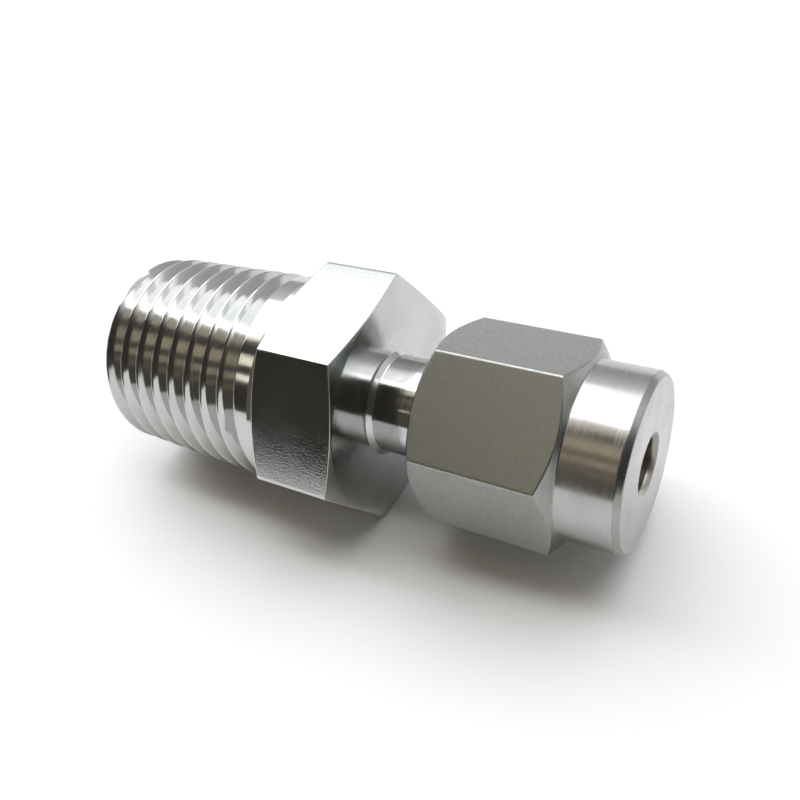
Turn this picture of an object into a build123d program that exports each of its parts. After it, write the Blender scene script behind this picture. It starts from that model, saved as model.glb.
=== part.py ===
"""Compression tube connector: a threaded body, a coupling nut and two ferrules.

The common axis runs along +X, from the pipe thread to the tube opening. The body
lies on one flat of its hexagon. X is zero half way along, Z is zero under the flat.
"""
from build123d import *
import os
from math import atan, cos, degrees, radians, sin, tan

# pipe thread, tapered, cut on the body's long end
pipe_end_length = 13.44
pipe_end_diameter = 13.14
pipe_thread_pitch = 25.4 / 18
pipe_thread_taper = 1 / 16
pipe_thread_angle = 60.0
pipe_crest_width = 0.13
pipe_mouth_chamfer = 0.62
pipe_land_length = 1.57
first_groove = 1.21
lead_in_turns = 2
groove_overcut = 0.09
pipe_runout_turn = 100.0

# relief turned in the corner between the pipe thread and the hexagon
corner_relief_length = 0.42
corner_relief_depth = 0.16

# body hexagon
body_hex_flats = 14.2875
body_hex_length = 5.78
body_hex_face_step = 0.14
body_hex_back_angle = 23.0
body_hex_front_angle = 13.0

# coupling stub that carries the nut
neck_relief = 0.45
neck_fillet = 0.3
stub_rim = 0.7
stub_thread_length = 4.6
stub_chamfer = 0.35

# passage through the body
tube_diameter = 3.175
tube_clearance = 0.04
insertion_depth = 12.7
passage_diameter = 2.3
pipe_bore_diameter = 4.8
pipe_bore_depth = 15.0
pipe_bore_chamfer = 0.3
drill_point_angle = 118.0
seat_angle = 20.0
seat_height = 1.23

# coupling nut
nut_hex_flats = 11.1125
nut_hex_turn = -24.4
nut_hex_length = 8.78
nut_hex_face_step = 0.16
nut_hex_chamfer_angle = 32.0
nut_length = 12.3
nut_standoff = 3.96
collar_diameter = 10.5
collar_chamfer = 0.3
collar_chamfer_depth = 0.1
thread_clearance = 0.05
nut_mouth_chamfer = 0.45
tube_mouth_chamfer = 0.38
chamber_clearance = 0.25
thread_relief = 0.3
chamber_angle = 45.0
shoulder_angle = 45.0

# ferrules
seat_clearance = 0.03
nose_wall = 0.12
front_ferrule_rim = 0.55
front_ferrule_inset = 0.1
front_ferrule_cup = 0.55
back_nose_wall = 0.16
back_flange_length = 1.15
back_flange_inset = 0.15
back_flange_chamfer = 0.5

# places along the axis, counted from the pipe end
hex_back = pipe_end_length
hex_front = hex_back + body_hex_length
nut_back = hex_front + nut_standoff
nut_front = nut_back + nut_length
collar_root = nut_back + nut_hex_length
tube_stop = nut_front - insertion_depth
thread_start = nut_back + nut_mouth_chamfer + stub_chamfer
stub_front = thread_start + stub_thread_length
half_length = nut_front / 2

# radii shared by pieces that fit
axis_height = body_hex_flats / 2
tube_bore_radius = tube_diameter / 2 + tube_clearance
seat_mouth_radius = tube_bore_radius + seat_height
stub_radius = seat_mouth_radius + stub_rim
neck_radius = stub_radius - neck_relief
nut_thread_radius = stub_radius + thread_clearance
seat_start = stub_front - (seat_mouth_radius - tube_bore_radius) / tan(radians(seat_angle))
front_rim_radius = seat_mouth_radius - front_ferrule_inset
back_flange_radius = front_rim_radius - back_flange_inset
chamber_radius = front_rim_radius + chamber_clearance

# drawing planes: one along the axis, one across it
lengthwise = Plane(origin=(-half_length, 0, axis_height), x_dir=(1, 0, 0), z_dir=(0, -1, 0))
centre_line = Axis((0, 0, axis_height), (1, 0, 0))


def across(place, turn=0.0):
    """Plane square to the axis, its local X turned from +Y towards +Z by turn degrees."""
    turned = (0, cos(radians(turn)), sin(radians(turn)))
    return Plane(origin=(place - half_length, 0, axis_height), x_dir=turned, z_dir=(1, 0, 0))


def crest_radius(place):
    """Radius of the tapered pipe thread over its crests."""
    return pipe_end_diameter / 2 + place * pipe_thread_taper / 2


# tapered V groove of the pipe thread, and its run-out into the land before the hexagon
flank_slope = tan(radians(pipe_thread_angle / 2))
groove_depth = (pipe_thread_pitch - pipe_crest_width) / 2 / flank_slope
groove_end = pipe_end_length - pipe_land_length
groove_start = first_groove - lead_in_turns * pipe_thread_pitch
groove_height = groove_depth + groove_overcut
groove_half_top = groove_height * flank_slope
taper_angle = degrees(atan(pipe_thread_taper / 2))
runout_rise = pipe_runout_turn / 360 * pipe_thread_pitch
runout_angle = degrees(atan(groove_height / runout_rise))
helix_turn = 90.0
runout_turn = 360 * (groove_end - groove_start) / pipe_thread_pitch


def root_helix(start, length, cone_angle):
    """Root line of the groove, opening outwards at cone_angle from the root radius at start."""
    return Helix(
        pitch=pipe_thread_pitch / cos(radians(cone_angle)),
        height=length,
        radius=crest_radius(start) - groove_depth,
        center=across(start).origin,
        direction=(1, 0, 0),
        cone_angle=cone_angle,
        mode=Mode.PRIVATE,
    )


def groove_section(root_line, turn):
    """Triangle of the groove, square to a root line that begins turn degrees past the top."""
    outward = across(0, helix_turn + turn).x_dir
    with BuildSketch(Plane(origin=root_line @ 0, x_dir=outward, z_dir=root_line % 0)) as section:
        with BuildLine():
            Polyline(
                (0, 0),
                (groove_height, -groove_half_top),
                (groove_height, groove_half_top),
                close=True,
            )
        make_face()
    return section.sketch


with BuildPart() as pipe_groove:
    groove_root = root_helix(groove_start, groove_end - groove_start, taper_angle)
    sweep(groove_section(groove_root, 0), path=groove_root, is_frenet=True)
with BuildPart() as pipe_runout:
    runout_root = root_helix(groove_end, runout_rise, runout_angle).rotate(centre_line, runout_turn)
    sweep(groove_section(runout_root, runout_turn), path=runout_root, is_frenet=True)

# connector body: pipe thread, hexagon, neck and coupling stub in one turned piece
with BuildPart() as connector_body:
    with BuildSketch(across(hex_back)):
        RegularPolygon(radius=body_hex_flats / 2, side_count=6, major_radius=False)
    extrude(amount=body_hex_length)
    corner = body_hex_flats
    face_radius = body_hex_flats / 2 - body_hex_face_step
    back_rise = (corner - face_radius) * tan(radians(body_hex_back_angle))
    front_rise = (corner - face_radius) * tan(radians(body_hex_front_angle))
    with BuildSketch(lengthwise):
        with BuildLine():
            Polyline(
                (hex_back, 0),
                (hex_back, face_radius),
                (hex_back + back_rise, corner),
                (hex_front - front_rise, corner),
                (hex_front, face_radius),
                (hex_front, 0),
                close=True,
            )
        make_face()
    revolve(axis=centre_line, mode=Mode.INTERSECT)

    relief_start = hex_back - corner_relief_length
    with BuildSketch(lengthwise):
        with BuildLine():
            Polyline(
                (0, 0),
                (0, crest_radius(0) - pipe_mouth_chamfer),
                (pipe_mouth_chamfer, crest_radius(pipe_mouth_chamfer)),
                (relief_start, crest_radius(relief_start)),
                (hex_back, crest_radius(relief_start) - corner_relief_depth),
                (hex_back, 0),
                close=True,
            )
        make_face()
    revolve(axis=centre_line)
    add(pipe_groove.part, mode=Mode.SUBTRACT)
    add(pipe_runout.part, mode=Mode.SUBTRACT)

    with BuildSketch(lengthwise):
        with BuildLine():
            Polyline(
                (hex_front, 0),
                (hex_front, neck_radius + neck_fillet),
                (hex_front + neck_fillet, neck_radius),
                (thread_start - stub_chamfer, neck_radius),
                (thread_start, stub_radius),
                (stub_front - stub_chamfer, stub_radius),
                (stub_front, stub_radius - stub_chamfer),
                (stub_front, 0),
                close=True,
            )
        make_face()
    revolve(axis=centre_line)

    drill_slope = tan(radians(drill_point_angle / 2))
    pipe_bore_radius = pipe_bore_diameter / 2
    passage_radius = passage_diameter / 2
    pipe_bore_tip = pipe_bore_depth + (pipe_bore_radius - passage_radius) / drill_slope
    with BuildSketch(lengthwise):
        with BuildLine():
            Polyline(
                (0, 0),
                (0, pipe_bore_radius + pipe_bore_chamfer),
                (pipe_bore_chamfer, pipe_bore_radius),
                (pipe_bore_depth, pipe_bore_radius),
                (pipe_bore_tip, passage_radius),
                (tube_stop, passage_radius),
                (tube_stop, tube_bore_radius),
                (seat_start, tube_bore_radius),
                (stub_front, seat_mouth_radius),
                (stub_front, 0),
                close=True,
            )
        make_face()
    revolve(axis=centre_line, mode=Mode.SUBTRACT)
connector_body.part.label = "connector_body"

# front ferrule: long cone that seats in the body's mouth, cupped behind for the back ferrule
seat_slope = tan(radians(seat_angle))
nose_radius = tube_bore_radius + nose_wall
nose_tip = seat_start + (nose_wall + seat_clearance) / seat_slope
cone_end = nose_tip + (front_rim_radius - nose_radius) / seat_slope
front_back_face = cone_end + front_ferrule_rim
with BuildPart() as front_ferrule:
    with BuildSketch(lengthwise):
        with BuildLine():
            Polyline(
                (nose_tip, tube_bore_radius),
                (nose_tip, nose_radius),
                (cone_end, front_rim_radius),
                (front_back_face, front_rim_radius),
                (front_back_face, tube_bore_radius + front_ferrule_cup),
                (front_back_face - front_ferrule_cup, tube_bore_radius),
                close=True,
            )
        make_face()
    revolve(axis=centre_line)
front_ferrule.part.label = "front_ferrule"

# back ferrule: short nose in the front ferrule's cup, flange that the nut pushes
back_nose_tip = front_back_face - front_ferrule_cup + back_nose_wall + seat_clearance
flange_start = front_back_face + seat_clearance
flange_end = flange_start + back_flange_length
cup_mouth_radius = tube_bore_radius + front_ferrule_cup
with BuildPart() as back_ferrule:
    with BuildSketch(lengthwise):
        with BuildLine():
            Polyline(
                (back_nose_tip, tube_bore_radius),
                (back_nose_tip, tube_bore_radius + back_nose_wall),
                (flange_start, cup_mouth_radius),
                (flange_start, back_flange_radius),
                (flange_end - back_flange_chamfer, back_flange_radius),
                (flange_end, back_flange_radius - back_flange_chamfer),
                (flange_end, tube_bore_radius),
                close=True,
            )
        make_face()
    revolve(axis=centre_line)
back_ferrule.part.label = "back_ferrule"

# coupling nut: hexagon, round collar, threaded mouth and the chamber that holds the ferrules
with BuildPart() as coupling_nut:
    with BuildSketch(across(nut_back, nut_hex_turn)):
        RegularPolygon(radius=nut_hex_flats / 2, side_count=6, major_radius=False)
    extrude(amount=nut_hex_length)
    nut_corner = nut_hex_flats
    nut_slope = tan(radians(nut_hex_chamfer_angle))
    nut_face_radius = nut_hex_flats / 2 - nut_hex_face_step
    collar_radius = collar_diameter / 2
    with BuildSketch(lengthwise):
        with BuildLine():
            Polyline(
                (nut_back, 0),
                (nut_back, nut_face_radius),
                (nut_back + (nut_corner - nut_face_radius) * nut_slope, nut_corner),
                (collar_root - (nut_corner - collar_radius) * nut_slope, nut_corner),
                (collar_root, collar_radius),
                (collar_root, 0),
                close=True,
            )
        make_face()
    revolve(axis=centre_line, mode=Mode.INTERSECT)

    with BuildSketch(lengthwise):
        with BuildLine():
            Polyline(
                (collar_root, 0),
                (collar_root, collar_radius),
                (nut_front - collar_chamfer, collar_radius),
                (nut_front, collar_radius - collar_chamfer_depth),
                (nut_front, 0),
                close=True,
            )
        make_face()
    revolve(axis=centre_line)

    chamber_start = stub_front + thread_relief
    chamber_cone = (nut_thread_radius - chamber_radius) / tan(radians(chamber_angle))
    shoulder_slope = tan(radians(shoulder_angle))
    push_height = back_flange_radius - back_flange_chamfer - tube_bore_radius
    shoulder_end = flange_end + seat_clearance + push_height / shoulder_slope
    shoulder_start = shoulder_end - (chamber_radius - tube_bore_radius) / shoulder_slope
    with BuildSketch(lengthwise):
        with BuildLine():
            Polyline(
                (nut_back, 0),
                (nut_back, nut_thread_radius + nut_mouth_chamfer),
                (nut_back + nut_mouth_chamfer, nut_thread_radius),
                (chamber_start, nut_thread_radius),
                (chamber_start + chamber_cone, chamber_radius),
                (shoulder_start, chamber_radius),
                (shoulder_end, tube_bore_radius),
                (nut_front - tube_mouth_chamfer, tube_bore_radius),
                (nut_front, tube_bore_radius + tube_mouth_chamfer),
                (nut_front, 0),
                close=True,
            )
        make_face()
    revolve(axis=centre_line, mode=Mode.SUBTRACT)
coupling_nut.part.label = "coupling_nut"

os.makedirs("parts", exist_ok=True)
export_step(connector_body.part, "parts/connector_body.step")
export_step(front_ferrule.part, "parts/front_ferrule.step")
export_step(back_ferrule.part, "parts/back_ferrule.step")
export_step(coupling_nut.part, "parts/coupling_nut.step")
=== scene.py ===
"""Looks of the compression tube connector: threaded body, coupling nut and two ferrules.

Every piece is a skin of rows along the common axis and columns round it. Lengths are in metres.
"""

import math

import bpy
import numpy as np
from bpy.props import FloatProperty, FloatVectorProperty, PointerProperty
from mathutils import Matrix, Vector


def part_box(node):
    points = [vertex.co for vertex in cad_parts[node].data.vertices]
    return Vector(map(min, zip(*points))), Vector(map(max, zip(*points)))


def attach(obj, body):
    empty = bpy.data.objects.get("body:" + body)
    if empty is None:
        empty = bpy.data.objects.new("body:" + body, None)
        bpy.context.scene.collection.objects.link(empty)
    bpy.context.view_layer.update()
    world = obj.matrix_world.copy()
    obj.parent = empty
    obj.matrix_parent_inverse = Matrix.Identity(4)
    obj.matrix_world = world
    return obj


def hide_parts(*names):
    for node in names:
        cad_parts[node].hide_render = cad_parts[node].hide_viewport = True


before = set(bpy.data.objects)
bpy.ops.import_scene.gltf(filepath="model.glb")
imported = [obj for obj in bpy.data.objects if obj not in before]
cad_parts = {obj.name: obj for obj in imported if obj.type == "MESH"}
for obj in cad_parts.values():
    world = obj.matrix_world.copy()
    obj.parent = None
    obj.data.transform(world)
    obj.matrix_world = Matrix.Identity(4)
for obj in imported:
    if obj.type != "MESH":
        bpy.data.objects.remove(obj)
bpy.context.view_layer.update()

bl_info = {
    "name": "Compression tube connector",
    "version": (1, 0, 0),
    "blender": (4, 5, 0),
    "location": "View3D > Sidebar > Connector",
    "description": "Builds a tube connector with pipe thread, hexagon, coupling nut and ferrules",
    "category": "Add Mesh",
}

BACK_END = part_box("connector_body")[0].x
AXIS_HEIGHT = (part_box("coupling_nut")[0].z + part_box("coupling_nut")[1].z) / 2
MM = 0.001
SNAP = 0.003 * MM
WELD = 1e-5 * MM
SHARP_ANGLE = math.radians(62)
FLANK_SLOPE = math.tan(math.radians(30))
CHAMFER_SOFTNESS = 0.02 * MM
NUT_CREST_SOFTNESS = 0.03 * MM
COUPLING_FLANK = [0.12, 0.3, 0.65]
BESIDE_CORNER = [-2.2, -1, -0.5, 0.5, 1, 2.2]
ROUND_COLUMNS = 216
FERRULE_COLUMNS = 96
LEAST_ROUGHNESS = 0.03


def length(name, description, default):
    """A length in metres with its unit, for a property group."""
    return FloatProperty(
        name=name, description=description, default=default, unit="LENGTH", precision=6
    )


def angle(name, description, degrees):
    """An angle given in degrees, kept in radians."""
    default = math.radians(degrees)
    return FloatProperty(name=name, description=description, default=default, subtype="ANGLE")


def share(name, description, default):
    """A plain number from nought upwards."""
    return FloatProperty(name=name, description=description, default=default, min=0.0)


def colour(name, description, default):
    """A colour with red, green and blue from nought to one."""
    return FloatVectorProperty(
        name=name, description=description, default=default, size=3, min=0, max=1, subtype="COLOR"
    )


class PipeThreadSizes(bpy.types.PropertyGroup):
    """Sizes of the tapered pipe thread."""

    length: length("Length", "From the pipe end to the hexagon", 13.44 * MM)
    end_diameter: length("End diameter", "Over the crests at the pipe end", 13.14 * MM)
    pitch: length("Pitch", "From one crest to the next", 25.4 / 18 * MM)
    taper: share("Taper", "Growth of the diameter over the length", 1 / 16)
    crest_width: length("Crest width", "Flat left on each crest", 0.13 * MM)
    root_round: length("Root rounding", "Softness of the groove's bottom", 0.03 * MM)
    crest_round: length("Crest rounding", "Softness of the crest's edges", 0.05 * MM)
    mouth_chamfer: length("Mouth chamfer", "Chamfer at the pipe end", 0.62 * MM)
    first_groove: length("First groove", "Place of a groove's middle over the top line", 1.21 * MM)
    land: length("Land", "From the groove's run-out to the hexagon", 1.57 * MM)
    runout_turn: angle("Run-out", "Turn in which the groove rises out of the metal", 100)
    relief_length: length("Relief length", "Relief in the corner before the hexagon", 0.42 * MM)
    relief_depth: length("Relief depth", "Depth of the relief at the hexagon", 0.16 * MM)


class CouplingThreadSizes(bpy.types.PropertyGroup):
    """Sizes of the fine thread between body and nut."""

    pitch: length("Pitch", "From one crest to the next", 1.27 * MM)
    crest_radius: length("Crest radius", "Over the crests of the body's thread", 3.9 * MM)
    crest_width: length("Crest width", "Flat left on each crest", 0.16 * MM)
    root_round: length("Root rounding", "Softness of the groove's bottom", 0.14 * MM)
    crest_round: length("Crest rounding", "Softness of the crest's edges", 0.04 * MM)
    clearance: length("Clearance", "Radial gap between both threads", 0.06 * MM)
    nut_radius: length("Nut's inner radius", "Radius inside the crests of the nut's thread", 3.36 * MM)


class BodySizes(bpy.types.PropertyGroup):
    """Sizes of the connector body past its pipe thread."""

    hex_flats: length("Hexagon", "Across the flats", 14.2875 * MM)
    hex_length: length("Hexagon length", "Along the axis", 5.78 * MM)
    face_step: length("Face step", "From the flats in to the round faces", 0.14 * MM)
    back_angle: angle("Back chamfer", "Lean of the chamfer on the pipe side", 23)
    front_angle: angle("Front chamfer", "Lean of the chamfer on the nut side", 13)
    corner_round: length("Corner rounding", "Radius along the hexagon's six edges", 0.16 * MM)
    neck_radius: length("Neck radius", "Plain neck in front of the hexagon", 3.1075 * MM)
    neck_fillet: length("Neck fillet", "Hollow between neck and face", 0.3 * MM)
    stub_back: length("Stub thread start", "Where the coupling thread begins", 23.63 * MM)
    stub_front: length("Stub front", "Front end of the body", 28.58 * MM)
    stub_front_radius: length("Stub front radius", "Outer radius of the front end", 3.2075 * MM)
    seat_radius: length("Seat radius", "Mouth of the cone that takes the ferrule", 2.8575 * MM)
    seat_start: length("Seat start", "Where the cone leaves the tube bore", 25.2006 * MM)
    tube_radius: length("Tube bore radius", "Bore that takes the tube", 1.6275 * MM)
    tube_stop: length("Tube stop", "Shoulder that the tube meets", 22.78 * MM)
    passage_radius: length("Passage radius", "Narrow passage behind the shoulder", 1.15 * MM)
    bore_radius: length("Pipe bore radius", "Wide bore from the pipe end", 2.4 * MM)
    bore_depth: length("Pipe bore depth", "Full depth of the wide bore", 15.0 * MM)
    bore_tip: length("Bore tip", "Where the drill's cone meets the passage", 15.751 * MM)
    bore_chamfer: length("Bore chamfer", "Chamfer at the pipe bore's mouth", 0.3 * MM)
    edge: length("Edge", "Rounding of every turned edge", 0.03 * MM)


class NutSizes(bpy.types.PropertyGroup):
    """Sizes of the coupling nut."""

    back: length("Back", "Place of the open end", 23.18 * MM)
    front: length("Front", "Place of the end face", 35.48 * MM)
    collar_root: length("Collar root", "Where the collar leaves the hexagon", 31.96 * MM)
    hex_flats: length("Hexagon", "Across the flats", 11.1125 * MM)
    turn: angle("Turn", "Turn of the hexagon at rest", -24.4)
    face_step: length("Face step", "From the flats in to the round face", 0.16 * MM)
    chamfer_angle: angle("Chamfer", "Lean of both chamfers", 32)
    corner_round: length("Corner rounding", "Radius along the hexagon's six edges", 0.2 * MM)
    collar_radius: length("Collar radius", "Round collar in front of the hexagon", 5.25 * MM)
    collar_chamfer: length("Collar chamfer", "Length of the chamfer at the end", 0.38 * MM)
    collar_chamfer_depth: length("Chamfer depth", "Drop of that chamfer", 0.24 * MM)
    mouth_radius: length("Mouth radius", "Chamfered mouth of the thread", 4.0575 * MM)
    thread_end: length("Thread end", "Where the inner thread stops", 28.85 * MM)
    chamber_start: length("Chamber start", "Front end of the cone before the chamber", 29.48 * MM)
    chamber_radius: length("Chamber radius", "Chamber that holds the ferrules", 3.0075 * MM)
    shoulder_start: length("Shoulder start", "Where the chamber begins to close", 29.25 * MM)
    shoulder_end: length("Shoulder end", "Where the tube bore begins", 30.623 * MM)
    tube_radius: length("Tube bore radius", "Bore that guides the tube", 1.6275 * MM)
    tube_chamfer: length("Tube chamfer", "Countersink of the tube's mouth", 0.26 * MM)
    edge: length("Edge", "Rounding of every turned edge", 0.06 * MM)


class FerruleSizes(bpy.types.PropertyGroup):
    """Sizes of the two ferrules."""

    bore_radius: length("Bore radius", "Bore round the tube", 1.6275 * MM)
    nose: length("Front nose", "Tip of the front ferrule's cone", 25.613 * MM)
    nose_wall: length("Nose wall", "Wall at the tip", 0.12 * MM)
    cone_end: length("Cone end", "Wide end of the cone", 28.388 * MM)
    rim_radius: length("Rim radius", "Front ferrule's rim", 2.7575 * MM)
    rim_back: length("Rim back", "Back face of the front ferrule", 28.938 * MM)
    cup: length("Cup", "Depth and height of the hollow behind", 0.55 * MM)
    back_nose: length("Back nose", "Tip of the back ferrule", 28.578 * MM)
    back_wall: length("Back nose wall", "Wall at that tip", 0.16 * MM)
    flange_start: length("Flange start", "Front face of the back ferrule's flange", 28.968 * MM)
    flange_end: length("Flange end", "Face that the nut pushes", 30.118 * MM)
    flange_radius: length("Flange radius", "Over the flange", 2.6075 * MM)
    flange_chamfer: length("Flange chamfer", "Chamfer that the nut pushes", 0.5 * MM)
    edge: length("Edge", "Rounding of every turned edge", 0.03 * MM)


class SteelFinish(bpy.types.PropertyGroup):
    """Colours of the steels."""

    bright: colour("Bright steel", "Turned and polished body", (0.55, 0.56, 0.55))
    drawn: colour("Drawn steel", "Flats of the body's hexagon", (0.54, 0.57, 0.57))
    tumbled: colour("Tumbled steel", "Flats of the nut", (0.35, 0.37, 0.35))
    satin: colour("Satin steel", "Collar and end face of the nut", (0.43, 0.435, 0.43))
    inner: colour("Bore steel", "Bores and threads inside", (0.42, 0.4, 0.36))
    ferrule: colour("Ferrule steel", "Both ferrules", (0.58, 0.57, 0.55))


class StageSettings(bpy.types.PropertyGroup):
    """Floor, room and light."""

    floor: colour("Floor", "Plain pale floor", (0.8, 0.8, 0.81))
    ceiling: share("Ceiling", "Brightness of the lit ceiling above and behind", 1.75)
    wall: share("Wall", "Brightness of the pale room behind", 0.58)
    gloom: colour("Dark side", "Room in front of the object", (0.045, 0.042, 0.036))
    glow: colour("Brown side", "Lighter middle of the room in front", (0.15, 0.132, 0.105))
    lamp_power: share("Lamp", "Power of the overhead lamp in watts", 0.05)


# skins


def hexagon_radius(angles, flats, turn, rounding):
    """Distance from the axis to a hexagon with rounded corners.

    On a flat it is half the width across flats over the cosine of the angle from the flat's
    middle. Near a corner it is the far crossing of the ray with the corner's circle, which meets
    the flat half a rounding aside from the corner.
    """
    from_corner = np.mod(angles - turn + math.pi / 6, math.pi / 3) - math.pi / 6
    flat = flats / 2 / np.cos(math.pi / 6 - np.abs(from_corner))
    centre = (flats / 2 - rounding) / math.cos(math.pi / 6)
    aside = centre * np.sin(from_corner)
    arc = centre * np.cos(from_corner) + np.sqrt(np.maximum(rounding**2 - aside**2, 0))
    meets = math.atan(rounding * 0.5 / (centre + rounding * math.cos(math.pi / 6)))
    return np.where(np.abs(from_corner) <= meets, arc, flat)


def column_angles(turn, flats, rounding):
    """Even columns round the axis from one corner on, with a few more beside each corner."""
    even = np.linspace(0, 2 * math.pi, ROUND_COLUMNS + 1)
    arc = rounding * 0.5 / (flats / 2)
    near = np.array(BESIDE_CORNER) * arc
    corners = (np.arange(6)[:, None] * math.pi / 3 + near).ravel()
    return turn + np.unique(np.concatenate([even, np.mod(corners, 2 * math.pi)]))


def soft_least(a, b, width):
    """Smooth minimum: half of the sum less the root of squared difference plus squared width."""
    return (a + b - np.sqrt((a - b) ** 2 + width**2)) / 2


def soft_most(a, b, width):
    """Smooth maximum: half of the sum plus the root of squared difference plus squared width."""
    return (a + b + np.sqrt((a - b) ** 2 + width**2)) / 2


def groove_place(along, angles, pitch, phase):
    """Offset from the nearest groove's middle, and that middle's place along the axis."""
    turns = (along - phase) / pitch - angles / (2 * math.pi)
    nearest = np.round(turns)
    return (turns - nearest) * pitch, phase + (nearest + angles / (2 * math.pi)) * pitch


def helical_rows(start, stop, pitch, phase, offsets, angles):
    """Rows that follow the helix: each groove's middle plus an offset plus pitch times the turn.

    Rows are held between start and stop, where they collapse onto the end rings.
    """
    first = math.floor((start - phase) / pitch) - 2
    last = math.ceil((stop - phase) / pitch) + 1
    middles = phase + pitch * np.arange(first, last + 1)
    flat = (middles[:, None] + offsets[None, :]).ravel()
    rows = flat[:, None] + pitch * (angles[None, :]) / (2 * math.pi)
    rows = rows[(rows.max(1) > start + SNAP) & (rows.min(1) < stop - SNAP)]
    rows = np.where(rows < start + SNAP, start, np.where(rows > stop - SNAP, stop, rows))
    ring = np.ones((1, len(angles)))
    return np.concatenate([start * ring, rows, stop * ring])


def thread_rows(start, stop, phase, sizes, flank, angles):
    """Rows of a thread, with flank as the rows' shares of the way from root to crest.

    Across one pitch the rows stand at the root, at those shares, closer together round the
    crest's edge, and in the middle of the crest.
    """
    edge = (sizes.pitch - sizes.crest_width) / 2
    beside_edge = edge + sizes.crest_width * np.array([-0.35, -0.1, 0.15])
    half = np.concatenate([edge * np.array(flank), beside_edge])
    offsets = np.concatenate([-half[::-1], [0.0], half, [sizes.pitch / 2]])
    return helical_rows(start, stop, sizes.pitch, phase, offsets, angles)


def groove_depth(sizes):
    """Full depth of a 60 degree V: half the pitch less the crest's flat, over the flank's slope."""
    return (sizes.pitch - sizes.crest_width) / 2 / FLANK_SLOPE


def groove_rise(offset, sizes):
    """Height over the V's bottom: root of squared offset plus squared rounding, over the slope."""
    return np.sqrt(offset**2 + sizes.root_round**2) / FLANK_SLOPE


def pipe_thread_phase(sizes):
    """Place of a groove's middle in the first column, a quarter turn before the top line."""
    return sizes.first_groove - sizes.pitch / 4


def pipe_thread_radius(along, angles, sizes):
    """Radius of the tapered thread.

    The crest cone less the groove depth, plus the smooth least of the groove's V and its full
    depth. Past the last turn the V rises with the place of the groove's middle until it is out
    of the metal. The chamfer at the pipe end is one more smooth minimum.
    """
    depth = groove_depth(sizes)
    crest = (sizes.end_diameter + sizes.taper * along) / 2
    offset, middle = groove_place(along, angles, sizes.pitch, pipe_thread_phase(sizes))
    rise = sizes.runout_turn / (2 * math.pi) * sizes.pitch
    lift = np.maximum((middle - (sizes.length - sizes.land)) / rise, 0) * depth
    radius = crest - depth + soft_least(groove_rise(offset, sizes) + lift, depth, sizes.crest_round)
    chamfer = sizes.end_diameter / 2 - sizes.mouth_chamfer + along
    return soft_least(radius, chamfer, CHAMFER_SOFTNESS)


def coupling_thread_radius(along, angles, sizes):
    """Radius of the fine thread: crest radius less depth plus the smooth least of V and depth."""
    depth = groove_depth(sizes)
    offset, _ = groove_place(along, angles, sizes.pitch, 0.0)
    return sizes.crest_radius - depth + soft_least(groove_rise(offset, sizes), depth, sizes.crest_round)


def bevelled(along, radius, edge, zones):
    """Rows of a profile with every corner rounded.

    Each corner becomes five rows: two on the side before, the middle of a parabola, and two on
    the side after. Reach is the edge size, or a fifth of the shorter side.
    """
    corner = np.stack(np.broadcast_arrays(along, radius), -1)
    side = np.diff(corner, axis=0)
    size = np.linalg.norm(side, axis=-1, keepdims=True)
    unit = side / np.maximum(size, 1e-12)
    reach = np.minimum(edge, 0.2 * np.minimum(size[:-1], size[1:]))
    here = corner[1:-1]
    before, after = here - unit[:-1] * reach, here + unit[1:] * reach
    middle = before / 4 + here / 2 + after / 4
    five = np.stack([before - unit[:-1] * reach, before, middle, after, after + unit[1:] * reach], 1)
    rows = np.concatenate([corner[:1], five.reshape(-1, *corner.shape[1:]), corner[-1:]])
    bands = np.repeat(zones, [3] + [5] * (len(zones) - 2) + [3])
    return rows[..., 0], rows[..., 1], bands


def turned(points, angles, edge, zones):
    """Bevelled rows from points of place and radius, either of which may change round the axis."""
    ring = np.ones(len(angles))
    along, radius = (np.stack([ring * value for value in values]) for values in zip(*points))
    return bevelled(along, radius, edge, zones)


def joining(last, first, zone):
    """One band from the last row of one part to the first row of another."""
    rows = (np.stack([last[i][-1], first[i][0]]) for i in range(2))
    return (*rows, np.array([zone]))


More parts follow.
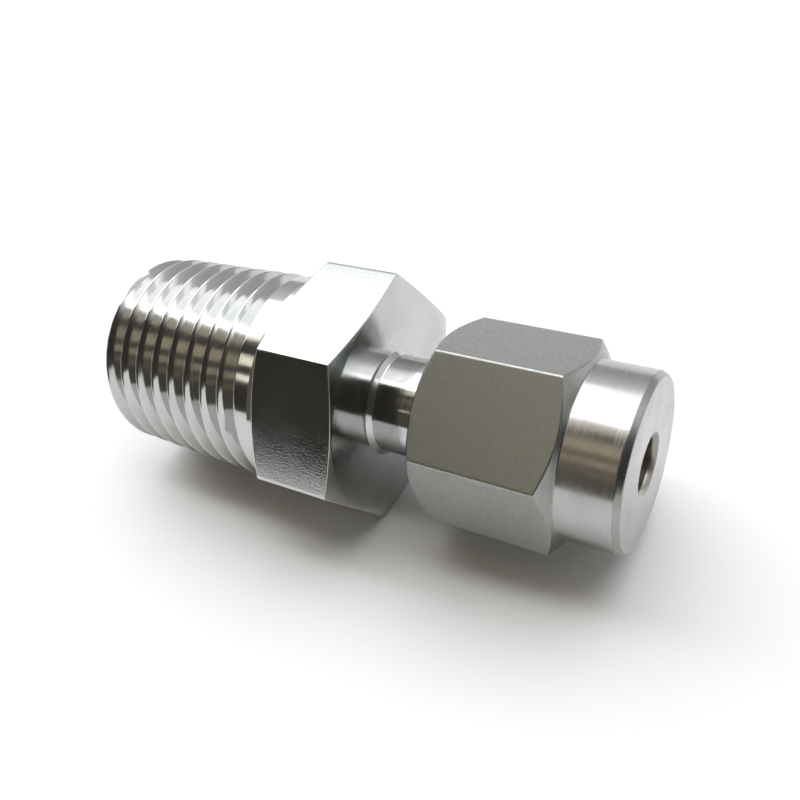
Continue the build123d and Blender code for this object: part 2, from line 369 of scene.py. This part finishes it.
def skin(name, parts, angles, materials):
    """Closed skin from parts of rows, each with its places, radii and finish per band.

    A point is at x, radius times cosine of its column, and axis height plus radius times sine.
    Points that fall on one another are merged, which closes the columns round the axis and the
    rows along the profile, and turns rows that collapse at an end into edges.
    """
    along = np.concatenate([p[0] for p in parts])
    radius = np.concatenate([p[1] for p in parts])
    zones = np.concatenate([np.append(p[2], p[2][-1]) for p in parts])[:-1]
    places = np.stack(
        [along + BACK_END, radius * np.cos(angles), AXIS_HEIGHT + radius * np.sin(angles)], -1
    ).reshape(-1, 3)
    keys = np.round(places / WELD).astype(np.int64)
    _, first, index = np.unique(keys, axis=0, return_index=True, return_inverse=True)
    index = index.reshape(along.shape)
    corners = np.stack([index[:-1, :-1], index[:-1, 1:], index[1:, 1:], index[1:, :-1]], -1).reshape(-1, 4)
    finish = np.repeat(zones, along.shape[1] - 1)
    fresh = corners != np.roll(corners, 1, axis=1)
    folded = (corners[:, 0] == corners[:, 2]) | (corners[:, 1] == corners[:, 3])
    keep = (fresh.sum(1) >= 3) & ~folded
    corners, fresh, finish = corners[keep], fresh[keep], finish[keep]
    used, loops = np.unique(corners[fresh], return_inverse=True)
    totals = fresh.sum(1)

    mesh = bpy.data.meshes.new(name)
    mesh.vertices.add(len(used))
    mesh.vertices.foreach_set("co", places[first[used]].astype(np.float32).ravel())
    mesh.loops.add(len(loops))
    mesh.loops.foreach_set("vertex_index", loops.astype(np.int32).ravel())
    mesh.polygons.add(len(totals))
    mesh.polygons.foreach_set("loop_start", (np.cumsum(totals) - totals).astype(np.int32))
    mesh.polygons.foreach_set("material_index", finish.astype(np.int32))
    mesh.polygons.foreach_set("use_smooth", np.ones(len(totals), bool))
    mesh.update(calc_edges=True)
    mesh.validate()
    mesh.set_sharp_from_angle(angle=SHARP_ANGLE)
    for material in materials:
        mesh.materials.append(material)
    piece = bpy.data.objects.new(name, mesh)
    bpy.context.scene.collection.objects.link(piece)
    return piece


# effects shared by the steels


def new_group(name, inputs, outputs):
    """Empty shader node group with float inputs and outputs, and its two end nodes."""
    group = bpy.data.node_groups.new(name, "ShaderNodeTree")
    for label, value in inputs:
        socket = group.interface.new_socket(label, in_out="INPUT", socket_type="NodeSocketFloat")
        socket.default_value = value
    for label in outputs:
        group.interface.new_socket(label, in_out="OUTPUT", socket_type="NodeSocketFloat")
    return group, group.nodes.new("NodeGroupInput"), group.nodes.new("NodeGroupOutput")


def wire(tree, kind, links=(), **settings):
    """New node of a kind in a tree, with settings and with links from sockets or plain values."""
    node = tree.nodes.new(kind)
    for key, value in settings.items():
        setattr(node, key, value)
    for socket, source in links:
        if isinstance(source, bpy.types.NodeSocket):
            tree.links.new(source, node.inputs[socket])
        else:
            node.inputs[socket].default_value = source
    return node


def calculate(tree, operation, *values):
    """Output of a Math node."""
    return wire(tree, "ShaderNodeMath", enumerate(values), operation=operation).outputs[0]


def smooth_step(tree, value, low, high):
    """Nought below low, one above high, smooth between."""
    links = [("Value", value), ("From Min", low), ("From Max", high)]
    return wire(tree, "ShaderNodeMapRange", links, interpolation_type="SMOOTHSTEP").outputs["Result"]


def axis_point(tree):
    """Object coordinates counted from the common axis."""
    place = tree.nodes.new("ShaderNodeTexCoord").outputs["Object"]
    links = [("Vector", place), ("Location", (0, 0, -AXIS_HEIGHT))]
    return wire(tree, "ShaderNodeMapping", links).outputs[0]


def turned_lines():
    """Lathe lines: one-dimensional noise of the place along the axis plus the radius."""
    inputs = [("Lines", 6000.0), ("Wander", 0.3)]
    group, enter, leave = new_group("Turned lines", inputs, ["Height", "Mask"])
    place = axis_point(group)
    x, y, z = wire(group, "ShaderNodeSeparateXYZ", [(0, place)]).outputs
    squares = [calculate(group, "POWER", value, 2.0) for value in (y, z)]
    radius = calculate(group, "SQRT", calculate(group, "ADD", *squares))
    links = [("Vector", place), ("Scale", 260.0), ("Detail", 1.0)]
    drift = wire(group, "ShaderNodeTexNoise", links).outputs[0]
    wander = calculate(group, "MULTIPLY", drift, enter.outputs["Wander"])
    shift = calculate(group, "MULTIPLY", wander, MM)
    ring = calculate(group, "ADD", calculate(group, "ADD", x, radius), shift)
    spot = calculate(group, "MULTIPLY", ring, enter.outputs["Lines"])
    links = [("W", spot), ("Scale", 1.0), ("Detail", 3.0), ("Roughness", 0.65)]
    fine = wire(group, "ShaderNodeTexNoise", links, noise_dimensions="1D").outputs[0]
    group.links.new(fine, leave.inputs["Height"])
    group.links.new(smooth_step(group, fine, 0.52, 0.72), leave.inputs["Mask"])
    return group


def metal_grain():
    """Even grain: fine noise in all directions, and a mask of its rare bright grains."""
    group, enter, leave = new_group("Metal grain", [("Size", 5000.0), ("Rare", 0.62)], ["Height", "Specks"])
    links = [("Vector", axis_point(group)), ("Scale", enter.outputs["Size"])]
    links += [("Detail", 2.0), ("Roughness", 0.6)]
    noise = wire(group, "ShaderNodeTexNoise", links).outputs[0]
    high = calculate(group, "ADD", enter.outputs["Rare"], 0.08)
    group.links.new(noise, leave.inputs["Height"])
    group.links.new(smooth_step(group, noise, enter.outputs["Rare"], high), leave.inputs["Specks"])
    return group


def cloudy_stain():
    """Uneven tone: slightly bent noise in a few octaves, from nought to one."""
    group, enter, leave = new_group("Cloudy stain", [("Size", 300.0)], ["Tone"])
    links = [("Vector", axis_point(group)), ("Scale", enter.outputs["Size"])]
    links += [("Detail", 3.0), ("Distortion", 0.4)]
    noise = wire(group, "ShaderNodeTexNoise", links).outputs[0]
    group.links.new(smooth_step(group, noise, 0.32, 0.7), leave.inputs["Tone"])
    return group


def effect(name, build):
    """The node group of that name, built on first use."""
    return bpy.data.node_groups.get(name) or build()


def place_effect(tree, name, build, **values):
    """Places a shared effect in a material with its own values."""
    node = wire(tree, "ShaderNodeGroup", node_tree=effect(name, build))
    for key, value in values.items():
        node.inputs[key].default_value = value
    return node.outputs


def steel(name, tint, roughness, spread, lines=None, grain=None, stain=(300.0, 0.1), specks=None):
    """Steel with its own lathe lines, grain and stain.

    lines is (lines per metre, depth), grain is (grains per metre, depth), stain is (patches per
    metre, share of darkening) and specks is (grains per metre, threshold, roughness taken off).
    """
    material = bpy.data.materials.new(name)
    material.use_nodes = True
    tree = material.node_tree
    shader = tree.nodes["Principled BSDF"]
    shader.inputs["Metallic"].default_value = 1.0
    tone = place_effect(tree, "Cloudy stain", cloudy_stain, Size=stain[0])["Tone"]
    dark = tuple(c * (1 - stain[1]) for c in tint)
    mix = wire(tree, "ShaderNodeMix", data_type="RGBA")
    mix.inputs["A"].default_value = (*dark, 1)
    mix.inputs["B"].default_value = (*tint, 1)
    tree.links.new(tone, mix.inputs["Factor"])
    tree.links.new(mix.outputs["Result"], shader.inputs["Base Color"])
    rough = calculate(tree, "MULTIPLY_ADD", tone, -spread, roughness + spread / 2)
    normal = None
    if grain:
        found = place_effect(tree, "Metal grain", metal_grain, Size=grain[0])
        links = [("Height", found["Height"]), ("Distance", grain[1]), ("Strength", 1.0)]
        normal = wire(tree, "ShaderNodeBump", links).outputs[0]
    if lines:
        found = place_effect(tree, "Turned lines", turned_lines, Lines=lines[0])
        links = [("Height", found["Height"]), ("Distance", lines[1]), ("Strength", 1.0)]
        links += [("Normal", normal)] if normal else []
        normal = wire(tree, "ShaderNodeBump", links).outputs[0]
        rough = calculate(tree, "MULTIPLY_ADD", found["Mask"], spread, rough)
    if specks:
        found = place_effect(tree, "Metal grain", metal_grain, Size=specks[0], Rare=specks[1])
        rough = calculate(tree, "MULTIPLY_ADD", found["Specks"], -specks[2], rough)
    tree.links.new(calculate(tree, "MAXIMUM", rough, LEAST_ROUGHNESS), shader.inputs["Roughness"])
    if normal:
        tree.links.new(normal, shader.inputs["Normal"])
    return material


# pieces


def dress(piece, node, body):
    """Puts a finished skin in the place of its solid."""
    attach(piece, body)
    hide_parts(node)


class CONNECTOR_OT_body(bpy.types.Operator):
    """Connector body: pipe thread, hexagon, neck, coupling thread and bores"""

    bl_idname = "connector.body"
    bl_label = "Connector body"

    def execute(self, context):
        pipe, size = context.scene.pipe_thread, context.scene.connector_body
        fine, finish = context.scene.coupling_thread, context.scene.steel_finish
        angles = column_angles(0.0, size.hex_flats, size.corner_round)
        threads, flats, faces, neck, bore = range(5)

        relief = pipe.length - pipe.relief_length
        along = thread_rows(0.0, relief, pipe_thread_phase(pipe), pipe, [0.05, 0.13, 0.38, 0.66], angles)
        thread = (along, pipe_thread_radius(along, angles, pipe), np.full(len(along) - 1, threads))

        crest_end = (pipe.end_diameter + pipe.taper * relief) / 2
        hexagon = hexagon_radius(angles, size.hex_flats, 0.0, size.corner_round)
        face = size.hex_flats / 2 - size.face_step
        front = pipe.length + size.hex_length
        back_rise = (hexagon - face) * math.tan(size.back_angle)
        front_rise = (hexagon - face) * math.tan(size.front_angle)
        middle = turned(
            [
                (relief, crest_end),
                (pipe.length, crest_end - pipe.relief_depth),
                (pipe.length, face),
                (pipe.length + back_rise, hexagon),
                (front - front_rise, hexagon),
                (front, face),
                (front, size.neck_radius + size.neck_fillet),
                (front + size.neck_fillet, size.neck_radius),
                (size.stub_back, size.neck_radius),
            ],
            angles,
            size.edge,
            [threads, faces, faces, flats, faces, faces, neck, neck],
        )

        along = thread_rows(size.stub_back, size.stub_front, 0.0, fine, COUPLING_FLANK, angles)
        radius = coupling_thread_radius(along, angles, fine)
        radius = soft_least(radius, size.neck_radius + along - size.stub_back, CHAMFER_SOFTNESS)
        radius = soft_least(radius, size.stub_front_radius + size.stub_front - along, CHAMFER_SOFTNESS)
        stub = (along, radius, np.full(len(along) - 1, neck))

        mouth = size.bore_radius + size.bore_chamfer
        inside = turned(
            [
                (size.stub_front, (size.stub_front_radius + size.seat_radius) / 2),
                (size.stub_front, size.seat_radius),
                (size.seat_start, size.tube_radius),
                (size.tube_stop, size.tube_radius),
                (size.tube_stop, size.passage_radius),
                (size.bore_tip, size.passage_radius),
                (size.bore_depth, size.bore_radius),
                (size.bore_chamfer, size.bore_radius),
                (0.0, mouth),
                (0.0, (mouth + size.neck_radius) / 2),
            ],
            angles,
            size.edge,
            [faces, bore, bore, bore, bore, bore, bore, bore, faces],
        )
        close = joining(inside, thread, faces)

        materials = [
            steel(
                "Bright thread steel", finish.bright, roughness=0.11, spread=0.06,
                lines=(9000.0, 1.0e-6), stain=(500.0, 0.06),
            ),
            steel(
                "Drawn hexagon steel", finish.drawn, roughness=0.09, spread=0.04,
                grain=(9500.0, 3.2e-6), stain=(350.0, 0.1), specks=(5200.0, 0.6, 0.1),
            ),
            steel(
                "Turned face steel", finish.bright, roughness=0.14, spread=0.06,
                lines=(7000.0, 0.7e-6), stain=(240.0, 0.14),
            ),
            steel(
                "Turned neck steel", finish.bright, roughness=0.11, spread=0.07,
                lines=(5200.0, 1.2e-6), stain=(700.0, 0.08),
            ),
            steel(
                "Drilled bore steel", finish.inner, roughness=0.3, spread=0.1,
                lines=(6000.0, 2.0e-6), stain=(500.0, 0.25),
            ),
        ]
        piece = skin("connector_body_skin", [thread, middle, stub, inside, close], angles, materials)
        dress(piece, "connector_body", "body")
        return {"FINISHED"}


class CONNECTOR_OT_nut(bpy.types.Operator):
    """Coupling nut: hexagon, collar, tube mouth, chamber and inner thread"""

    bl_idname = "connector.nut"
    bl_label = "Coupling nut"

    def execute(self, context):
        size, fine = context.scene.coupling_nut, context.scene.coupling_thread
        finish = context.scene.steel_finish
        angles = column_angles(size.turn, size.hex_flats, size.corner_round)
        chamfer, flats, collar, bore = range(4)
        hexagon = hexagon_radius(angles, size.hex_flats, size.turn, size.corner_round)
        face = size.hex_flats / 2 - size.face_step
        lean = math.tan(size.chamfer_angle)
        points = [
            (size.back, (size.mouth_radius + face) / 2),
            (size.back, face),
            (size.back + (hexagon - face) * lean, hexagon),
            (size.collar_root - (hexagon - size.collar_radius) * lean, hexagon),
            (size.collar_root, size.collar_radius),
            (size.front - size.collar_chamfer, size.collar_radius),
            (size.front, size.collar_radius - size.collar_chamfer_depth),
            (size.front, size.tube_radius + size.tube_chamfer),
            (size.front - size.tube_chamfer, size.tube_radius),
            (size.shoulder_end, size.tube_radius),
            (size.shoulder_start, size.chamber_radius),
        ]
        zones = [chamfer, chamfer, flats, chamfer, collar, chamfer, collar, bore, bore, bore]
        outside = turned(points, angles, size.edge, zones)

        along = thread_rows(size.back, size.thread_end, 0.0, fine, COUPLING_FLANK, angles)[::-1]
        radius = coupling_thread_radius(along, angles, fine) + fine.clearance
        radius = soft_most(radius, fine.nut_radius, NUT_CREST_SOFTNESS)
        radius = soft_most(radius, size.mouth_radius - (along - size.back), CHAMFER_SOFTNESS)
        thread = (along, radius, np.full(len(along) - 1, bore))
        step = (
            np.stack([outside[0][-1], np.full(len(angles), size.chamber_start), thread[0][0]]),
            np.stack([outside[1][-1], np.full(len(angles), size.chamber_radius), thread[1][0]]),
            np.array([bore, bore]),
        )
        close = joining(thread, outside, chamfer)
        materials = [
            steel(
                "Nut chamfer steel", finish.tumbled, roughness=0.26, spread=0.08,
                lines=(5200.0, 1.0e-6), stain=(400.0, 0.2),
            ),
            steel(
                "Tumbled nut steel", finish.tumbled, roughness=0.35, spread=0.08,
                grain=(9000.0, 6e-6), stain=(4200.0, 0.14), specks=(5200.0, 0.68, 0.14),
            ),
            steel(
                "Satin collar steel", finish.satin, roughness=0.2, spread=0.08,
                lines=(6500.0, 0.8e-6), grain=(9000.0, 0.8e-6), stain=(380.0, 0.1),
            ),
            steel(
                "Nut bore steel", finish.inner, roughness=0.32, spread=0.1,
                lines=(6000.0, 2.0e-6), stain=(500.0, 0.25),
            ),
        ]
        piece = skin("coupling_nut_skin", [outside, step, thread, close], angles, materials)
        dress(piece, "coupling_nut", "nut")
        return {"FINISHED"}


class CONNECTOR_OT_ferrules(bpy.types.Operator):
    """Front ferrule with its cone and cup, and back ferrule with its flange"""

    bl_idname = "connector.ferrules"
    bl_label = "Ferrules"

    def execute(self, context):
        size, finish = context.scene.ferrules, context.scene.steel_finish
        angles = np.linspace(0, 2 * math.pi, FERRULE_COLUMNS + 1)
        bore = size.bore_radius
        front_middle = (size.nose + size.rim_back - size.cup) / 2
        back_middle = (size.back_nose + size.flange_end) / 2
        shapes = {
            "front_ferrule": [
                (front_middle, bore),
                (size.nose, bore),
                (size.nose, bore + size.nose_wall),
                (size.cone_end, size.rim_radius),
                (size.rim_back, size.rim_radius),
                (size.rim_back, bore + size.cup),
                (size.rim_back - size.cup, bore),
                (front_middle, bore),
            ],
            "back_ferrule": [
                (back_middle, bore),
                (size.back_nose, bore),
                (size.back_nose, bore + size.back_wall),
                (size.flange_start, bore + size.cup),
                (size.flange_start, size.flange_radius),
                (size.flange_end - size.flange_chamfer, size.flange_radius),
                (size.flange_end, size.flange_radius - size.flange_chamfer),
                (size.flange_end, bore),
                (back_middle, bore),
            ],
        }
        material = steel(
            "Turned ferrule steel", finish.ferrule, roughness=0.16, spread=0.06,
            lines=(7000.0, 0.8e-6), stain=(600.0, 0.1),
        )
        for node, points in shapes.items():
            part = turned(points, angles, size.edge, [0] * (len(points) - 1))
            dress(skin(node + "_skin", [part], angles, [material]), node, "ferrules")
        return {"FINISHED"}


# stage

# each lamp on the ceiling: left, right, near, far, softness of its edges and tint
CEILING = (-3.0, 0.62, 0.16, 1.0, 0.12)
LAMPS = {
    "bright strip overhead": (-3.0, 0.6, 0.0, 0.1, 0.05, (6.0, 6.0, 6.0)),
    "small lamp overhead": (-1.2, -0.75, -0.13, -0.05, 0.03, (1.6, 1.45, 1.2)),
    "wide dim lamp overhead": (-0.6, 0.15, -0.24, -0.06, 0.05, (0.75, 0.66, 0.53)),
    "near lamp on the right": (1.85, 2.9, 0.52, 0.82, 0.12, (1.6, 1.6, 1.6)),
    "dim strip behind it": (1.85, 2.9, 0.82, 1.5, 0.12, (0.3, 0.3, 0.3)),
    "far lamp on the right": (1.85, 2.9, 1.5, 1.9, 0.15, (0.9, 0.9, 0.9)),
    "cream lamp in front": (-1.35, -0.98, -0.74, -0.52, 0.05, (1.5, 1.4, 1.15)),
    "tan lamp in front": (-0.5, -0.1, -0.8, -0.54, 0.07, (0.62, 0.5, 0.35)),
    "second cream lamp": (-1.7, -1.25, -1.42, -1.14, 0.05, (1.5, 1.4, 1.15)),
    "narrow lamp beside it": (-0.92, -0.84, -1.4, -1.2, 0.04, (1.0, 0.9, 0.7)),
    "second tan lamp": (-0.62, -0.2, -1.42, -1.14, 0.07, (0.5, 0.41, 0.3)),
    "last glow in front": (-0.8, -0.25, -2.35, -1.9, 0.15, (0.16, 0.13, 0.09)),
}
SEEN_BY_CAMERA = (0.98, 0.98, 0.98)
LOWEST_LOOK = 0.02
WALL_RISE = (0.1, 0.7)
GLOW_LEFT = (-0.52, -0.36)
GLOW_RIGHT = (0.25, 0.4)
FRONT_TO_BACK = (0.02, 0.2)

FLOOR_HALF = 1.6
FLOOR_ROUGHNESS = 0.7
FLOOR_SPECULAR = 0.2
OVERHEAD_LAMP_PLACE = (0.05, 0.12, 0.3)
OVERHEAD_LAMP_SIZE = (0.25, 0.2)
CAMERA_PLACE = (0.026711, -0.029411, 0.045375)
CAMERA_RIGHT = (0.86362, 0.46034, -0.20553)
CAMERA_UP = (-0.21118, 0.70053, 0.68167)
CAMERA_BACK = (0.45777, -0.54530, 0.70220)
CAMERA_SENSOR = 36.0
CAMERA_LENS = 38.557
CAMERA_NEAR = 0.002
CAMERA_FAR = 10.0


def room_light(settings):
    """World: a room with a wide lit ceiling above and behind, and rows of small lamps in front.

    A direction that points up meets the ceiling at u, its x over z, and v, its y over z, where
    the lamps are rectangles with soft edges. The room itself is pale behind and dark brown in
    front. The camera sees plain white.
    """
    world = bpy.data.worlds.new("Room")
    bpy.context.scene.world = world
    world.use_nodes = True
    tree = world.node_tree
    tree.nodes.clear()
    look = wire(tree, "ShaderNodeTexCoord").outputs["Generated"]
    x, y, z = wire(tree, "ShaderNodeSeparateXYZ", [(0, look)]).outputs
    height = calculate(tree, "MAXIMUM", z, LOWEST_LOOK)
    u, v = calculate(tree, "DIVIDE", x, height), calculate(tree, "DIVIDE", y, height)

    def blend(factor, first, second):
        """Colour between two others."""
        mix = wire(tree, "ShaderNodeMix", data_type="RGBA")
        for key, value in (("Factor", factor), ("A", first), ("B", second)):
            if isinstance(value, bpy.types.NodeSocket):
                tree.links.new(value, mix.inputs[key])
            else:
                mix.inputs[key].default_value = (*value, 1)
        return mix.outputs["Result"]

    def add(light, mask, tint):
        """Light plus a tint times a mask."""
        links = [(0, tint), (1, mask), (2, light)]
        return wire(tree, "ShaderNodeVectorMath", links, operation="MULTIPLY_ADD").outputs[0]

    def lamp(left, right, near, far, soft):
        """Mask of a rectangle on the ceiling."""
        sides = []
        for value, low, high in ((u, left, right), (v, near, far)):
            off = calculate(tree, "ABSOLUTE", calculate(tree, "SUBTRACT", value, (low + high) / 2))
            sides.append(smooth_step(tree, off, (high - low) / 2 + soft, (high - low) / 2))
        return calculate(tree, "MULTIPLY", *sides)

    foot = settings.wall * 0.9
    rise = calculate(tree, "MULTIPLY_ADD", smooth_step(tree, z, *WALL_RISE), foot, foot)
    pale = wire(tree, "ShaderNodeCombineColor", [(0, rise), (1, rise), (2, rise)]).outputs[0]
    gloom = blend(smooth_step(tree, x, *GLOW_LEFT), settings.gloom, settings.glow)
    gloom = blend(smooth_step(tree, x, *GLOW_RIGHT), gloom, settings.gloom)
    light = blend(smooth_step(tree, y, *FRONT_TO_BACK), gloom, pale)
    light = add(light, lamp(*CEILING), (settings.ceiling,) * 3)
    for *edges, tint in LAMPS.values():
        light = add(light, lamp(*edges), tint)
    seen = wire(tree, "ShaderNodeLightPath").outputs["Is Camera Ray"]
    shown = blend(seen, light, SEEN_BY_CAMERA)
    glow = wire(tree, "ShaderNodeBackground", [("Color", shown)])
    wire(tree, "ShaderNodeOutputWorld", [("Surface", glow.outputs[0])])


class CONNECTOR_OT_stage(bpy.types.Operator):
    """Floor, room light, lamp and camera"""

    bl_idname = "connector.stage"
    bl_label = "Stage"

    def execute(self, context):
        settings = context.scene.stage_settings
        room_light(settings)

        mesh = bpy.data.meshes.new("floor")
        corners = [(x * FLOOR_HALF, y * FLOOR_HALF, 0) for x, y in ((-1, -1), (1, -1), (1, 1), (-1, 1))]
        mesh.from_pydata(corners, [], [(0, 1, 2, 3)])
        floor = bpy.data.objects.new("floor", mesh)
        context.scene.collection.objects.link(floor)
        material = bpy.data.materials.new("Pale floor")
        material.use_nodes = True
        shader = material.node_tree.nodes["Principled BSDF"]
        shader.inputs["Base Color"].default_value = (*settings.floor, 1)
        shader.inputs["Roughness"].default_value = FLOOR_ROUGHNESS
        shader.inputs["Specular IOR Level"].default_value = FLOOR_SPECULAR
        mesh.materials.append(material)

        lamp = bpy.data.lights.new("overhead_lamp", "AREA")
        lamp.shape = "RECTANGLE"
        lamp.size, lamp.size_y = OVERHEAD_LAMP_SIZE
        lamp.energy = settings.lamp_power
        holder = bpy.data.objects.new("overhead_lamp", lamp)
        context.scene.collection.objects.link(holder)
        aside, behind, height = OVERHEAD_LAMP_PLACE
        holder.location = OVERHEAD_LAMP_PLACE
        holder.rotation_euler = (-math.atan2(behind, height), math.atan2(aside, height), 0)

        camera = bpy.data.cameras.new("camera")
        camera.sensor_width, camera.lens = CAMERA_SENSOR, CAMERA_LENS
        camera.clip_start, camera.clip_end = CAMERA_NEAR, CAMERA_FAR
        eye = bpy.data.objects.new("camera", camera)
        context.scene.collection.objects.link(eye)
        eye.matrix_world = Matrix([*zip(CAMERA_RIGHT, CAMERA_UP, CAMERA_BACK, CAMERA_PLACE), (0, 0, 0, 1)])
        context.scene.camera = eye
        context.scene.view_settings.view_transform = "Standard"
        return {"FINISHED"}


class CONNECTOR_PT_panel(bpy.types.Panel):
    """Lists the pieces of the connector"""

    bl_idname = "CONNECTOR_PT_panel"
    bl_label = "Tube connector"
    bl_space_type = "VIEW_3D"
    bl_region_type = "UI"
    bl_category = "Connector"

    def draw(self, context):
        for operator in OPERATORS:
            self.layout.operator(operator.bl_idname)
        for name in GROUPS:
            box = self.layout.box()
            box.label(text=name.replace("_", " ").capitalize())
            settings = getattr(context.scene, name)
            for key in settings.__annotations__:
                box.prop(settings, key)


GROUPS = {
    "pipe_thread": PipeThreadSizes,
    "coupling_thread": CouplingThreadSizes,
    "connector_body": BodySizes,
    "coupling_nut": NutSizes,
    "ferrules": FerruleSizes,
    "steel_finish": SteelFinish,
    "stage_settings": StageSettings,
}
OPERATORS = (CONNECTOR_OT_stage, CONNECTOR_OT_body, CONNECTOR_OT_nut, CONNECTOR_OT_ferrules)


def register():
    """Registers the classes and hangs each group of sizes on the scene."""
    for cls in (*GROUPS.values(), *OPERATORS, CONNECTOR_PT_panel):
        bpy.utils.register_class(cls)
    for name, cls in GROUPS.items():
        setattr(bpy.types.Scene, name, PointerProperty(type=cls))


def unregister():
    """Takes the groups and classes away again."""
    for name in GROUPS:
        delattr(bpy.types.Scene, name)
    for cls in (CONNECTOR_PT_panel, *OPERATORS, *GROUPS.values()):
        bpy.utils.unregister_class(cls)


def main():
    """Builds the stage and every piece."""
    register()
    bpy.ops.connector.stage()
    bpy.ops.connector.body()
    bpy.ops.connector.nut()
    bpy.ops.connector.ferrules()


if __name__ == "__main__":
    main()
